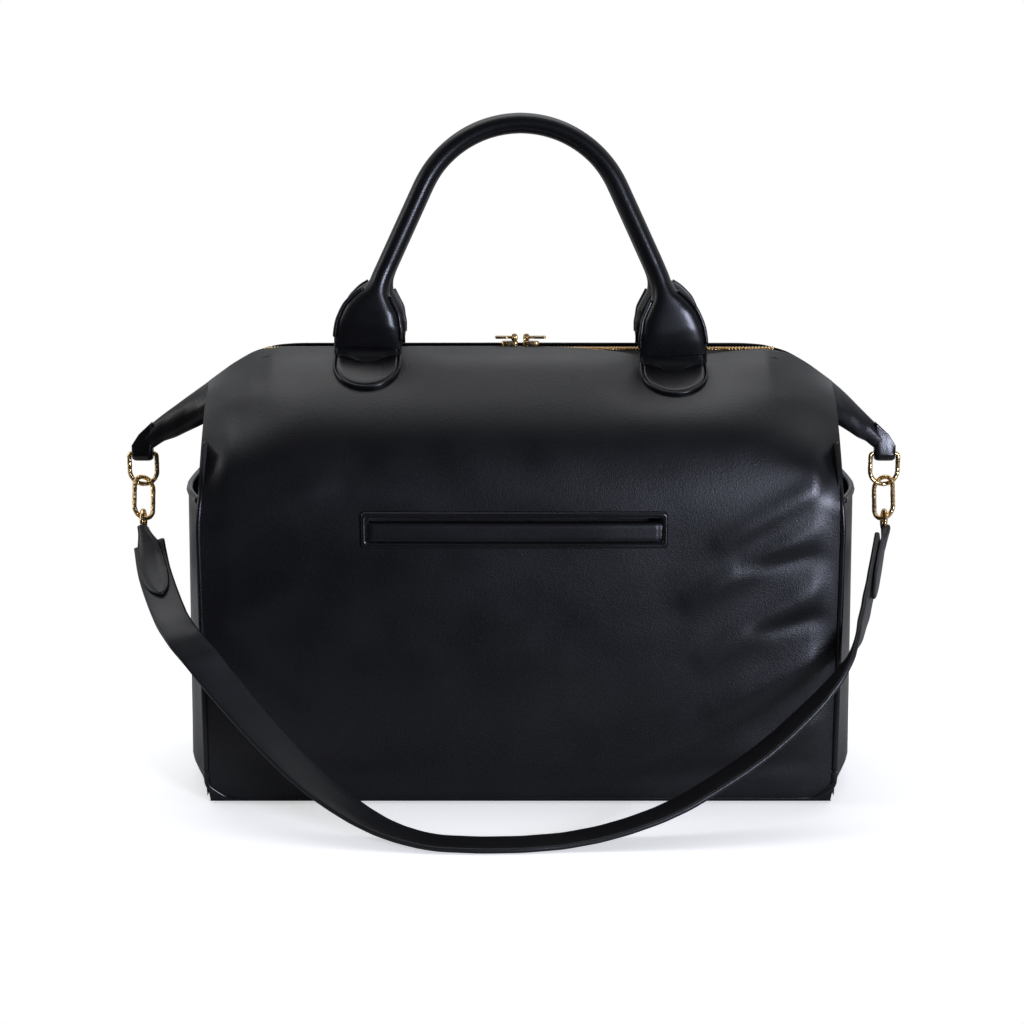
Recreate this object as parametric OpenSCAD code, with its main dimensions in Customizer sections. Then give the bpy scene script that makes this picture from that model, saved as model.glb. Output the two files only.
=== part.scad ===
// Diaper bag in smooth leather: zip-top travel shape with pulled-out corners,
// two rolled handles, side pockets, a welted front pocket and a shoulder strap on chain links.
// Millimetres, +X to the wearer's right of the front, -Y is the front, +Z up.
// The origin is the centre of the base, on the surface that the bag stands on.

/* [Body] */
// Width of the front panel at the base
body_w = 411; // [340:1:480]
// Depth of the base, front to back
body_d = 175; // [150:1:210]
// Height of the zip line above the base
body_h = 291; // [270:1:330]
// Thickness of the padded leather panels
wall = 3; // [2:0.5:4]
// Thickness of the fabric lining
lining_t = 1; // [0.8:0.1:1.5]
// Diameter of the piping in the seams
piping_d = 4; // [3:0.5:4]

/* [Mouth and zip] */
// How far below the zip line each lip folds when it opens
fold_drop = 48; // [46:1:60]
// Distance from each end of the zip to the bag's side
mouth_end = 33.5; // [33:0.5:60]
// Width of one row of zip teeth
teeth_w = 2.6; // [2:0.1:3]
// Height of the zip teeth
teeth_h = 3; // [2:0.1:3.4]
// Gap between the two rows
teeth_gap = 1.6; // [1.4:0.1:2]
// Length of a zip slider
slider_l = 11; // [9:0.5:14]
// Length of a zip pull
pull_l = 13; // [10:0.5:14]

/* [Pockets] */
// How far below the fold the side pockets' mouths are
pocket_drop = 43; // [38:1:110]
// Room inside a side pocket, across its mouth
pocket_room = 14; // [9:0.5:18]
// Width of the front pocket's frame
frame_w = 194; // [140:1:220]
// Height of the front pocket's frame
frame_h = 23; // [21:0.5:30]
// How far below the fold the frame's centre is
frame_drop = 58; // [50:1:100]
// How far the frame sits to the left of the middle
frame_shift = 4; // [0:0.5:10]
// Height of the slot above the welt
slot_h = 5.2; // [5:0.1:8]

/* [Handles] */
// Distance between the two ends of a handle
handle_spacing = 200; // [170:1:220]
// Height of a handle, fold to the middle of the tube
handle_h = 143.5; // [140:0.5:200]
// Diameter of the rolled tube
handle_d = 13; // [10:0.5:14]
// Radius of the top of the arch
handle_r = 70; // [60:1:74]
// Lean of the handles towards each other, in degrees
handle_lean = 6; // [0:0.1:6]
// Width of the sewn tabs
tab_w = 44; // [36:1:50]
// Length of the sewn tabs
tab_l = 36; // [28:1:40]

/* [Wings and strap] */
// How far each wing carries its ring beyond the bag's side
ring_reach = 44.5; // [40:0.5:56]
// How far below the fold the rings' bars hang
ring_drop = 26; // [20:1:38]
// How far the strap draws both wings to the left
strap_pull = 4.5; // [0:0.5:6]
// Diameter of the links' wire
wire_d = 3.2; // [2.4:0.1:3.4]
// Width of the shoulder strap
strap_w = 22; // [16:1:26]
// Thickness of the shoulder strap
strap_t = 3.5; // [2.5:0.5:4]

/* [Hidden] */

leather = [0.06, 0.06, 0.065];
cloth = [0.16, 0.15, 0.14];
gold = [0.83, 0.66, 0.37];
board = [0.3, 0.3, 0.3];

LEFT = -1;
RIGHT = 1;
FRONT = 0;
REAR = 1;
eps = 0.01;
clear = 0.3;

half_w = body_w / 2;
half_d = body_d / 2;
fold_z = body_h - fold_drop;
mouth_half = half_w - mouth_end;
pocket_h = fold_z - pocket_drop;
frame_z = fold_z - frame_drop;
ring_x = half_w + ring_reach;
ring_z = fold_z - ring_drop;

// Half profile of the bag's outside at the mouth: [distance from the middle, height]
lip_top = [9, body_h];
lip_shoulder = [20, body_h - 2.6];
lip_slope = [half_d - 31.5, body_h - 27.5];
lip_foot = [half_d - 9.5, fold_z];
panel_lean = [half_d - 2.5, fold_z - 18];
panel_bulge = [half_d, fold_z - 38];
// Half profile of the bag's outside at its side, where the corner runs into the wing
side_profile = [[0, body_h - 23], [20, body_h - 28], [50, body_h - 37], [lip_foot[0] - wall, fold_z]];
mouth_profile = [lip_top, lip_shoulder, lip_slope, lip_foot];

base_t = wall;
panel_z0 = base_t + piping_d;
board_t = 3;
floor_z = base_t + board_t + lining_t;

// A half profile moved inwards by a thickness, with its first point kept level
function inward(path, t) = [
  for (i = [0:len(path) - 1])
    let (a = path[max(i - 1, 0)], b = path[min(i + 1, len(path) - 1)],
         d = i == 0 ? [0, 1] : (b - a) / norm(b - a))
      path[i] - t * [d[1], -d[0]]
];

// A strip of constant thickness along a half profile, extruded across the bag
module strip(path, t, x0, x1) {
  inner = inward(path, t);
  count = len(inner);
  translate([x0, 0, 0])
    rotate([90, 0, 90])
      linear_extrude(x1 - x0)
        polygon(concat(path, [for (i = [1:count]) inner[count - i]]));
}

// A closed solid through rings of points, all with the same number of points
module loft(rings) {
  n = len(rings);
  m = len(rings[0]);
  walls = [
    for (i = [0:n - 2]) for (j = [0:m - 1])
      let (k = (j + 1) % m)
        each [[i * m + j, i * m + k, (i + 1) * m + k], [i * m + j, (i + 1) * m + k, (i + 1) * m + j]]
  ];
  ends = [[for (j = [0:m - 1]) m - 1 - j], [for (j = [0:m - 1]) (n - 1) * m + j]];
  polyhedron([for (r = rings) each r], concat(walls, ends));
}

module at_front() mirror([0, 1, 0]) children();
module face(which) {
  if (which == FRONT) at_front() children();
  else children();
}
module hand(side) {
  if (side == LEFT) mirror([1, 0, 0]) children();
  else children();
}

// ---- Base ----

module base_panel() {
  color(leather)
    translate([-half_w + 1, -half_d + wall, 0])
      cube([body_w - 2, body_d - 2 * wall, base_t]);
}

module base_board() {
  color(board)
    translate([-half_w + 6, -half_d + 6, base_t])
      cube([body_w - 12, body_d - 12, board_t]);
}

// ---- Front and rear panels ----

panel_x = half_w - piping_d / 2 - clear;
slot_w = frame_w - 10;
slot_z = frame_z + frame_h / 2 - 3 - slot_h;

panel_path = [[half_d, panel_z0], panel_bulge, panel_lean, lip_foot];

module panel(which) {
  face(which) strip(panel_path, wall, -panel_x, panel_x);
}

module slot_cut() {
  translate([-frame_shift - slot_w / 2, -half_d - 1, slot_z])
    cube([slot_w, wall + lining_t + 3, slot_h]);
}

module front_panel() {
  color(leather)
    difference() {
      panel(FRONT);
      slot_cut();
    }
}

module rear_panel() {
  color(leather) panel(REAR);
}

module piping_run(a, b) {
  hull() {
    translate(a) sphere(d = piping_d, $fn = 12);
    translate(b) sphere(d = piping_d, $fn = 12);
  }
}

// A cord in the seam, up both sides and along the bottom of one face
module piping(which) {
  x = half_w - 0.1;
  y = half_d - piping_d / 2 + 1.4;
  z = base_t + piping_d / 2;
  bulge = [x, y, panel_bulge[1]];
  lean = [x, y - half_d + panel_lean[0], panel_lean[1]];
  top = [x, y - half_d + lip_foot[0], fold_z - piping_d / 2];
  face(which) {
    piping_run([x, y, z], [-x, y, z]);
    for (side = [LEFT, RIGHT])
      hand(side) {
        piping_run([x, y, z], bulge);
        piping_run(bulge, lean);
        piping_run(lean, top);
      }
  }
}

module front_piping() { color(leather) piping(FRONT); }
module rear_piping() { color(leather) piping(REAR); }

// ---- Sides ----

module side_sheet(x, t, shrink, z0) {
  outline = [
    [half_d - shrink, z0], [half_d - shrink, panel_bulge[1]],
    [panel_lean[0] - shrink, panel_lean[1]], [lip_foot[0] - shrink, fold_z - clear]
  ];
  translate([x, 0, 0])
    rotate([90, 0, 90])
      linear_extrude(t)
        polygon(concat(outline, [for (i = [1:4]) [-outline[4 - i][0], outline[4 - i][1]]]));
}

gusset_x = half_w - wall;

module side_gusset(side) {
  color(leather) hand(side) side_sheet(gusset_x, wall, piping_d - 0.6, base_t);
}

module side_gusset_left() side_gusset(LEFT);
module side_gusset_right() side_gusset(RIGHT);

pocket_half = half_d - 6;
pocket_taper = 5;

// The bulged plan of a side pocket: [distance out from the side, distance from the middle of the side]
function pocket_plan(out, half) = [
  [0, -half], [0.55 * out, -0.72 * half], [out, -0.3 * half],
  [out, 0.3 * half], [0.55 * out, 0.72 * half], [0, half]
];

module pocket_block(out, half, z0, z1) {
  hull() {
    translate([half_w, 0, z0]) linear_extrude(1) polygon(pocket_plan(out, half));
    translate([half_w, 0, z1 - 1])
      linear_extrude(1) polygon(pocket_plan(out - pocket_taper * z1 / pocket_h, half));
  }
}

// A slip pocket that stands off the side, open at its top
module side_pocket(side) {
  out = pocket_room + wall;
  color(leather)
    hand(side)
      difference() {
        pocket_block(out, pocket_half, base_t, pocket_h);
        translate([-eps, 0, 0])
          pocket_block(out - wall, pocket_half - 2 * wall, base_t + wall, pocket_h + 1);
      }
}

module side_pocket_left() side_pocket(LEFT);
module side_pocket_right() side_pocket(RIGHT);

// The bound edge round a side pocket's mouth
module pocket_binding(side) {
  bind_h = 4;
  out = pocket_room + wall - pocket_taper;
  color(leather)
    hand(side)
      translate([half_w, 0, pocket_h])
        linear_extrude(bind_h)
          difference() {
            polygon(pocket_plan(out + 0.5, pocket_half + 0.5));
            translate([-eps, 0]) polygon(pocket_plan(out - wall, pocket_half - 2 * wall));
          }
}

module pocket_binding_left() pocket_binding(LEFT);
module pocket_binding_right() pocket_binding(RIGHT);

// ---- Front pocket ----

module framed(w, h, y0, y1) {
  translate([-frame_shift - w / 2, -half_d + y0, frame_z - h / 2])
    cube([w, y1 - y0, h]);
}

rim = 3;
rim_proud = 1.6;

module front_pocket_frame() {
  color(leather)
    difference() {
      framed(frame_w, frame_h, -rim_proud, 0);
      framed(frame_w - 2 * rim, frame_h - 2 * rim, -rim_proud - 1, 1);
    }
}

module front_pocket_welt() {
  welt_h = frame_h - 2 * rim - slot_h;
  color(leather)
    translate([-frame_shift - frame_w / 2 + rim + 0.5, -half_d - 1, slot_z - welt_h + 0.2])
      cube([frame_w - 2 * rim - 1, 1, welt_h - 0.4]);
}

bag_drop = 110;
bag_room = 9;
bag_y = -half_d + wall + lining_t;

// The flat fabric pouch behind the slot
module front_pocket_bag() {
  side_x = slot_w / 2 + 4;
  top_z = slot_z + slot_h + 5;
  color(cloth)
    difference() {
      translate([-frame_shift - side_x, bag_y, top_z - bag_drop])
        cube([2 * side_x, bag_room + lining_t, bag_drop]);
      translate([-frame_shift - side_x + lining_t, bag_y - 1, slot_z])
        cube([2 * (side_x - lining_t), bag_room + 1, slot_h]);
      translate([-frame_shift - side_x + lining_t, bag_y + lining_t, top_z - bag_drop + lining_t])
        cube([2 * (side_x - lining_t), bag_room - lining_t, bag_drop - 2 * lining_t]);
    }
}

// ---- Lining ----

module face_lining(which) {
  lining_x = gusset_x - lining_t;
  face(which) strip(inward(panel_path, wall), lining_t, -lining_x, lining_x);
}

module front_lining() {
  color(cloth)
    difference() {
      face_lining(FRONT);
      slot_cut();
    }
}

module rear_lining() { color(cloth) face_lining(REAR); }

module side_lining(side) {
  color(cloth) hand(side) side_sheet(gusset_x - lining_t, lining_t, piping_d - 0.6, floor_z);
}

module side_lining_left() side_lining(LEFT);
module side_lining_right() side_lining(RIGHT);

module base_lining() {
  inset = wall + 3.2;
  color(cloth)
    translate([-half_w + inset, -half_d + inset, base_t + board_t])
      cube([body_w - 2 * inset, body_d - 2 * inset, lining_t]);
}

// ---- Wings: the top corners, drawn out to the rings ----

module gable(points, x, inset) {
  outline = [for (p = points) [max(p[0] - inset, 0), p[1] - inset]];
  foot = [[outline[len(outline) - 1][0], fold_z + clear - (inset > 0 ? 1 : 0)]];
  half = concat([outline[0]], [for (i = [1:len(outline) - 2]) outline[i]], foot);
  translate([x, 0, 0])
    rotate([90, 0, 90])
      linear_extrude(0.1)
        polygon(concat(half, [for (i = [1:len(half)]) let (p = half[len(half) - i]) [-p[0], p[1]]]));
}

hood_x = mouth_half + 0.5;
ring_r = wire_d / 2;
loop_half = 6.6;
// Slices of the wing: [distance from the ring, half thickness, lowest, highest above the ring's bar]
wing_slices = [[-50, 9, 34, 54], [-28, 6, 17, 38], [-14, 3.5, 9.5, 26.5], [-6.7, 3, 9.5, 20]];

module wing_slice(side, s) {
  translate([ring_x + side * -strap_pull + s[0], -s[1], ring_z + s[2]])
    cube([0.1, 2 * s[1], s[3] - s[2]]);
}

module wing(side) {
  color(leather)
    hand(side) {
      difference() {
        hull() {
          gable(mouth_profile, hood_x, 0);
          gable(side_profile, half_w - 0.1, 0);
        }
        hull() {
          gable(mouth_profile, hood_x - 0.2, wall);
          gable(side_profile, half_w - wall - 0.1, wall);
        }
      }
      for (i = [0:len(wing_slices) - 2])
        hull() {
          wing_slice(side, wing_slices[i]);
          wing_slice(side, wing_slices[i + 1]);
        }
    }
}

module wing_left() wing(LEFT);
module wing_right() wing(RIGHT);

loop_r = 5.5;

// Leather folded round the bar of the upper link and stitched
module wing_loop(side) {
  color(leather)
    hand(side)
      translate([ring_x + side * -strap_pull, 0, ring_z])
        difference() {
          union() {
            rotate([0, 90, 0]) cylinder(r = loop_r, h = 2 * loop_half, center = true, $fn = 48);
            rotate([90, 0, 0])
              linear_extrude(6, center = true)
                polygon([[-loop_half, 0], [-loop_half, 20], [1.8, 11.5], [loop_half, 4.5], [loop_half, 0]]);
          }
          rotate([0, 90, 0])
            cylinder(r = ring_r + clear, h = 2 * loop_half + 1, center = true, $fn = 48);
        }
}

module wing_loop_left() wing_loop(LEFT);
module wing_loop_right() wing_loop(RIGHT);

// ---- Mouth: the two lips with the zip ----

module lip(which) {
  foot = lip_foot + [0, clear];
  face(which)
    strip([foot, lip_slope, lip_shoulder, lip_top], wall, -mouth_half, mouth_half);
}

module front_lip() { color(leather) lip(FRONT); }
module rear_lip() { color(leather) lip(REAR); }

lip_fall = (lip_top[1] - lip_shoulder[1]) / (lip_shoulder[0] - lip_top[0]);
tape_t = 0.9;
teeth_y = teeth_gap / 2;
tape_y = teeth_y + teeth_w;
function under_lip(y) = lip_top[1] - wall / cos(atan(lip_fall)) - 0.15 - (y - lip_top[0]) * lip_fall;

module zip_tape(which) {
  reach = 18;
  near = [tape_y, under_lip(tape_y)];
  far = [reach, under_lip(reach)];
  color(cloth)
    face(which)
      translate([-mouth_half, 0, 0])
        rotate([90, 0, 90])
          linear_extrude(2 * mouth_half)
            polygon([near, far, far - [0, tape_t], near - [0, tape_t]]);
}

module front_zip_tape() zip_tape(FRONT);
module rear_zip_tape() zip_tape(REAR);

teeth_z = under_lip(tape_y) - tape_t / 2 - teeth_h / 2;

module zip_teeth(which) {
  color(gold)
    face(which)
      translate([-mouth_half, teeth_y, teeth_z])
        cube([2 * mouth_half, teeth_w, teeth_h]);
}

module front_zip_teeth() zip_teeth(FRONT);
module rear_zip_teeth() zip_teeth(REAR);

// ---- Handle tabs, sewn on the lips ----

tab_t = 2.4;
slope_way = lip_slope - lip_shoulder;
slope_angle = atan2(-slope_way[1], slope_way[0]);

module handle_tab(which, side) {
  color(leather)
    face(which)
      hand(side)
        translate([handle_spacing / 2, lip_shoulder[0], lip_shoulder[1]])
          rotate([-slope_angle, 0, 0])
            linear_extrude(tab_t)
              intersection() {
                translate([-tab_w / 2, 0]) square([tab_w, tab_l]);
                union() {
                  translate([0, tab_l - tab_w / 2]) circle(d = tab_w, $fn = 64);
                  translate([-tab_w / 2, 0]) square([tab_w, max(tab_l - tab_w / 2, 1)]);
                }
              }
}

module front_tab_left() handle_tab(FRONT, LEFT);
module front_tab_right() handle_tab(FRONT, RIGHT);
module rear_tab_left() handle_tab(REAR, LEFT);
module rear_tab_right() handle_tab(REAR, RIGHT);

// ---- Rolled handles ----

flare_t = 5;
pivot_lift = tab_t + flare_t / 2 + 0.4;
pivot_y = lip_shoulder[0] + pivot_lift * sin(slope_angle);
pivot_z = lip_shoulder[1] + pivot_lift * cos(slope_angle);
leg_tilt = 25;
neck_z = 45;
leg_top = [handle_r * cos(leg_tilt), handle_h - handle_r + handle_r * sin(leg_tilt)];
neck_x = leg_top[0] + (leg_top[1] - neck_z) * tan(leg_tilt);
leg_l = (leg_top[1] - neck_z) / cos(leg_tilt);

// The frame that a handle stands in: its fold at the origin, leaning towards the other handle
module at_fold(which) {
  face(which)
    translate([0, pivot_y, pivot_z])
      rotate([handle_lean, 0, 0]) children();
}

// The flattened end of a handle, which swells and then gathers into the tube
module flare(which, side) {
  belly_z = 16;
  belly_t = 15;
  foot_x = handle_spacing / 2;
  belly_x = foot_x - 1;
  belly_reach = tab_w / 2 - belly_t / 2 - 0.5;
  color(leather)
    at_fold(which)
      hand(side) {
        hull() {
          for (x = [-1, 1])
            translate([foot_x + x * (tab_w / 2 - flare_t / 2 - 0.5), 0, 0]) sphere(d = flare_t, $fn = 24);
          for (x = [-1, 1])
            translate([belly_x + x * belly_reach, 0, belly_z]) sphere(d = belly_t, $fn = 32);
        }
        hull() {
          for (x = [-1, 1])
            translate([belly_x + x * belly_reach, 0, belly_z]) sphere(d = belly_t, $fn = 32);
          translate([neck_x, 0, neck_z])
            rotate([0, -leg_tilt, 0])
              translate([0, 0, -1]) cylinder(d = handle_d, h = 1, $fn = 32);
        }
      }
}

module front_flare_left() flare(FRONT, LEFT);
module front_flare_right() flare(FRONT, RIGHT);
module rear_flare_left() flare(REAR, LEFT);
module rear_flare_right() flare(REAR, RIGHT);

// The tube's middle line, from the neck of one leg over the arch to the other
arch_steps = 24;
handle_path = concat(
  [[neck_x, neck_z]],
  [for (i = [0:arch_steps])
    let (a = leg_tilt + (180 - 2 * leg_tilt) * i / arch_steps)
      [handle_r * cos(a), handle_h - handle_r + handle_r * sin(a)]],
  [[-neck_x, neck_z]]
);

module handle(which) {
  last = len(handle_path) - 1;
  sides = 20;
  rings = [
    for (i = [0:last])
      let (tilt = min(max(leg_tilt + (180 - 2 * leg_tilt) * (i - 1) / arch_steps, leg_tilt), 180 - leg_tilt))
        [for (k = [0:sides - 1])
          let (a = 360 * k / sides, r = handle_d / 2)
            [handle_path[i][0] + r * cos(a) * cos(tilt), r * sin(a), handle_path[i][1] + r * cos(a) * sin(tilt)]]
  ];
  color(leather) at_fold(which) loft(rings);
}

module front_handle() handle(FRONT);
module rear_handle() handle(REAR);

// ---- Zip sliders and pulls ----

crown_h = 2.6;
crown_half = 2;
plate_half = 4.4;
plate_t = 1.2;
nose_x = 1.5;
pull_t = 1.6;
pin_r = 1;
pin_x = nose_x + 2.5;
lug_half = 0.8;
arm_t = 1;
arm_y = lug_half + clear;
row_top = teeth_z + teeth_h;
crown_z = row_top + clear + crown_h;
eye_r = pin_r + clear + 1;
pin_z = crown_z + eye_r + clear;
plate_z = teeth_z - clear - 0.4;

// A slider that holds both rows between its crown and its under plate
module zip_slider(side) {
  web_half = 0.5;
  color(gold)
    hand(side)
      translate([nose_x, 0, 0])
        rotate([90, 0, 90])
          linear_extrude(slider_l)
            polygon([
              [-web_half, teeth_z - clear], [-web_half, row_top + clear], [-crown_half, crown_z],
              [crown_half, crown_z], [web_half, row_top + clear], [web_half, teeth_z - clear],
              [plate_half, plate_z], [plate_half, plate_z - plate_t],
              [-plate_half, plate_z - plate_t], [-plate_half, plate_z]
            ]);
  color(gold)
    hand(side)
      translate([pin_x - 2, -lug_half, crown_z])
        cube([4, 2 * lug_half, pin_z - crown_z + pin_r + 0.6]);
  color(gold)
    hand(side)
      translate([pin_x, 0, pin_z])
        rotate([90, 0, 0]) cylinder(r = pin_r, h = 2 * (arm_y + arm_t), center = true, $fn = 32);
}

module zip_slider_left() zip_slider(LEFT);
module zip_slider_right() zip_slider(RIGHT);

// A pull whose two arms turn on the slider's pin
module zip_pull(side) {
  pull_w = 6;
  arm_l = 5;
  color(gold)
    hand(side)
      translate([pin_x, 0, pin_z]) {
        for (y = [-1, 1])
          translate([0, y * (arm_y + arm_t / 2), 0])
            difference() {
              union() {
                rotate([90, 0, 0]) cylinder(r = eye_r, h = arm_t, center = true, $fn = 32);
                translate([0, -arm_t / 2, -pull_t / 2]) cube([arm_l, arm_t, pull_t]);
              }
              rotate([90, 0, 0])
                cylinder(r = pin_r + clear, h = arm_t + 1, center = true, $fn = 32);
            }
        translate([arm_l - 1, -pull_w / 2, -pull_t / 2]) cube([pull_l - arm_l + 1, pull_w, pull_t]);
      }
}

module zip_pull_left() zip_pull(LEFT);
module zip_pull_right() zip_pull(RIGHT);

// ---- Chain links ----

upper_half = 9.2;
upper_drop = 21;
link_half = 7.5;
link_drop = 30;
small_half = 5;
small_drop = 12;
link_gap = wire_d + 1.8;
link_turn = 47;
chain_tilt = 35;
chain_in = 4;

// A link of round wire with straight sides and a half-round end, its upper bar at the origin
module bow(half, drop) {
  translate([0, 0, -drop + half])
    rotate([90, 0, 0])
      rotate([0, 0, 180])
        rotate_extrude(angle = 180, $fn = 96) translate([half, 0]) circle(r = ring_r, $fn = 32);
}

module sides(half, drop, top) {
  for (x = [-half, half])
    translate([x, 0, -drop + half]) cylinder(r = ring_r, h = drop - half - top, $fn = 32);
}

module oval(half, drop) {
  bow(half, drop);
  sides(half, drop, half);
  translate([0, 0, -half])
    rotate([90, 0, 0])
      rotate_extrude(angle = 180, $fn = 96) translate([half, 0]) circle(r = ring_r, $fn = 32);
}

module at_ring(side) {
  translate([side * ring_x - strap_pull, 0, ring_z]) children();
}

// Below the upper link the chain tips forward and inward, the way the strap draws it
module at_chain(side, along) {
  at_ring(side)
    translate([0, 0, -upper_drop])
      rotate([0, side * chain_in, 0])
        rotate([-chain_tilt, 0, 0])
          translate([0, 0, -along]) children();
}

module upper_link(side) {
  color(gold)
    at_ring(side) {
      bow(upper_half, upper_drop);
      sides(upper_half, upper_drop, 0);
      for (x = [-upper_half, upper_half]) translate([x, 0, 0]) sphere(r = ring_r, $fn = 32);
      rotate([0, 90, 0]) cylinder(r = ring_r, h = 2 * upper_half, center = true, $fn = 32);
    }
}

module middle_link(side) {
  color(gold)
    at_chain(side, -link_gap) rotate([0, 0, -side * link_turn]) oval(link_half, link_drop);
}

module lower_link(side) {
  color(gold)
    at_chain(side, link_drop - 2 * link_gap) rotate([0, 0, 90]) oval(small_half, small_drop);
}

module upper_link_left() upper_link(LEFT);
module upper_link_right() upper_link(RIGHT);
module middle_link_left() middle_link(LEFT);
module middle_link_right() middle_link(RIGHT);
module lower_link_left() lower_link(LEFT);
module lower_link_right() lower_link(RIGHT);

// ---- Shoulder strap ----

// The strap's middle line, left to right: [x, y, z, turn of its flat about the line]
strap_route = [
  [-247.5, -27, 160.5, -111], [-245, -34.5, 153, -109.5], [-241.5, -45, 145.5, -106], [-236.5, -57, 138.5, -103.5],
  [-230.5, -71, 131.5, -98], [-223.5, -86, 124, -92], [-214.5, -98, 116, -86], [-204, -105, 106.5, -80],
  [-192.5, -110, 93.5, -75], [-180, -115.5, 80, -71], [-167, -122, 67, -66], [-154, -128.5, 55, -63],
  [-141, -135.5, 44, -59], [-127, -142, 33.5, -53], [-113, -147, 24.5, -45], [-100, -151, 17, -36],
  [-87, -154.5, 11, -26], [-75, -157, 7, -17], [-62, -159.5, 4.2, -9], [-50, -161, 2.7, -4],
  [-25, -162, 2, 0], [0, -161, 2, 0], [26, -158, 3, 1], [48, -156, 6.5, 3],
  [66, -154, 11, 5], [85, -151, 17, 7], [102, -147.5, 24, 9], [119, -143, 33, 10],
  [135, -138.5, 42, 11], [150, -134, 51.5, 11], [164, -129.5, 62, 10], [176, -125, 72, 9],
  [188, -120, 82.5, 4], [199, -115, 94, -3], [208, -108, 105.5, -12], [215, -97, 117, -20],
  [221.5, -81, 128.5, -20], [227.5, -63, 139, -18.5], [233, -45, 149.5, -18], [238.5, -27, 160.5, -18]
];

function unit(v) = v / norm(v);
function route_way(path, i) =
  let (a = path[max(i - 1, 0)], b = path[min(i + 1, len(path) - 1)])
    unit([b[0] - a[0], b[1] - a[1], b[2] - a[2]]);
function route_across(path, i) =
  let (t = route_way(path, i), h = [sin(path[i][3]), -cos(path[i][3]), 0])
    unit(h - (h * t) * t);
function route_place(path, i) = [path[i][0], path[i][1], path[i][2]];

// Sweeps a flat band with eased edges along a route
module band(path, w, t) {
  ease = t / 3;
  section = [
    [w / 2 - ease, -t / 2], [w / 2, -t / 2 + ease], [w / 2, t / 2 - ease], [w / 2 - ease, t / 2],
    [-w / 2 + ease, t / 2], [-w / 2, t / 2 - ease], [-w / 2, -t / 2 + ease], [-w / 2 + ease, -t / 2]
  ];
  loft([
    for (i = [0:len(path) - 1])
      let (p = route_place(path, i), a = route_across(path, i), u = cross(route_way(path, i), a))
        [for (s = section) p + a * s[0] + u * s[1]]
  ]);
}

module shoulder_strap() {
  color(leather) band(strap_route, strap_w, strap_t);
}

plate_r = 1.1;

// The two rounded corners of the tab's plate at one point of the strap's route
module plate_end(i, half, lift) {
  p = route_place(strap_route, i);
  a = route_across(strap_route, i);
  u = cross(route_way(strap_route, i), a);
  for (s = [-1, 1]) translate(p + a * s * (half - plate_r) + u * lift) sphere(r = plate_r, $fn = 16);
}

// A leather end, folded round the lower link and laid on the strap's outer face
module strap_tab(side) {
  last = len(strap_route) - 1;
  first = side == LEFT ? 0 : last;
  step = side == LEFT ? 1 : -1;
  lift = side * (strap_t / 2 + plate_r + 0.9);
  along = link_drop - 2 * link_gap + small_drop;
  widths = [7.5, 9, 9.5, 9, 6.5];
  plates = [for (i = [0:4]) first + step * i];
  color(leather) {
    difference() {
      at_chain(side, along)
        rotate([90, 0, 0]) cylinder(r = 4.6, h = 2 * (small_half - ring_r) - 0.8, center = true, $fn = 32);
      at_chain(side, along - 0.6)
        rotate([90, 0, 0]) cylinder(r = ring_r + 1.1, h = 12, center = true, $fn = 32);
    }
    hull() {
      at_chain(side, along + 4.6) rotate([90, 0, 0]) cylinder(r = 1.2, h = 7, center = true, $fn = 16);
      plate_end(plates[0], widths[0], lift);
    }
    for (k = [0:3])
      hull() {
        plate_end(plates[k], widths[k], lift);
        plate_end(plates[k + 1], widths[k + 1], lift);
      }
  }
}

module strap_tab_left() strap_tab(LEFT);
module strap_tab_right() strap_tab(RIGHT);

base_panel();
base_board();
front_panel();
rear_panel();
side_gusset_left();
side_gusset_right();
side_pocket_left();
side_pocket_right();
pocket_binding_left();
pocket_binding_right();
front_piping();
rear_piping();
front_pocket_frame();
front_pocket_welt();
front_pocket_bag();
front_lining();
rear_lining();
side_lining_left();
side_lining_right();
base_lining();
wing_left();
wing_right();
wing_loop_left();
wing_loop_right();
front_lip();
rear_lip();
front_zip_tape();
rear_zip_tape();
front_zip_teeth();
rear_zip_teeth();
front_tab_left();
front_tab_right();
rear_tab_left();
rear_tab_right();
front_flare_left();
front_flare_right();
rear_flare_left();
rear_flare_right();
front_handle();
rear_handle();
zip_slider_left();
zip_slider_right();
zip_pull_left();
zip_pull_right();
upper_link_left();
upper_link_right();
middle_link_left();
middle_link_right();
lower_link_left();
lower_link_right();
strap_tab_left();
strap_tab_right();
shoulder_strap();
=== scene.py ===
import math

import bpy
import numpy as np
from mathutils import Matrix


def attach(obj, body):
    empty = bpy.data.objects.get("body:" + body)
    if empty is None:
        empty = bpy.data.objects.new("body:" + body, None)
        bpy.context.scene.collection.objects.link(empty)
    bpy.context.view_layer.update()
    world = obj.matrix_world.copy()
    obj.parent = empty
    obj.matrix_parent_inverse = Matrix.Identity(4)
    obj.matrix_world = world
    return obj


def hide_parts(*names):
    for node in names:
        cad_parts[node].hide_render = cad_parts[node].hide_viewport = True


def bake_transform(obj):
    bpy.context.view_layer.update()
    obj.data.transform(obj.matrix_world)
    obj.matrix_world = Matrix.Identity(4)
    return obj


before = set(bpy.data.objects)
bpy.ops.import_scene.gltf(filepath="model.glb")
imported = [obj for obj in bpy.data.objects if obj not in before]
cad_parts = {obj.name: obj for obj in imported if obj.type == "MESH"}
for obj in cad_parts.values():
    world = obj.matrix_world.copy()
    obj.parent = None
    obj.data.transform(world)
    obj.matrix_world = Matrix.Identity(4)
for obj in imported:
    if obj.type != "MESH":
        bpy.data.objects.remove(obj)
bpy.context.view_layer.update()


# ---- Camera ----
# A 68 mm lens 1.3 metres in front, looking slightly down.

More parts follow.
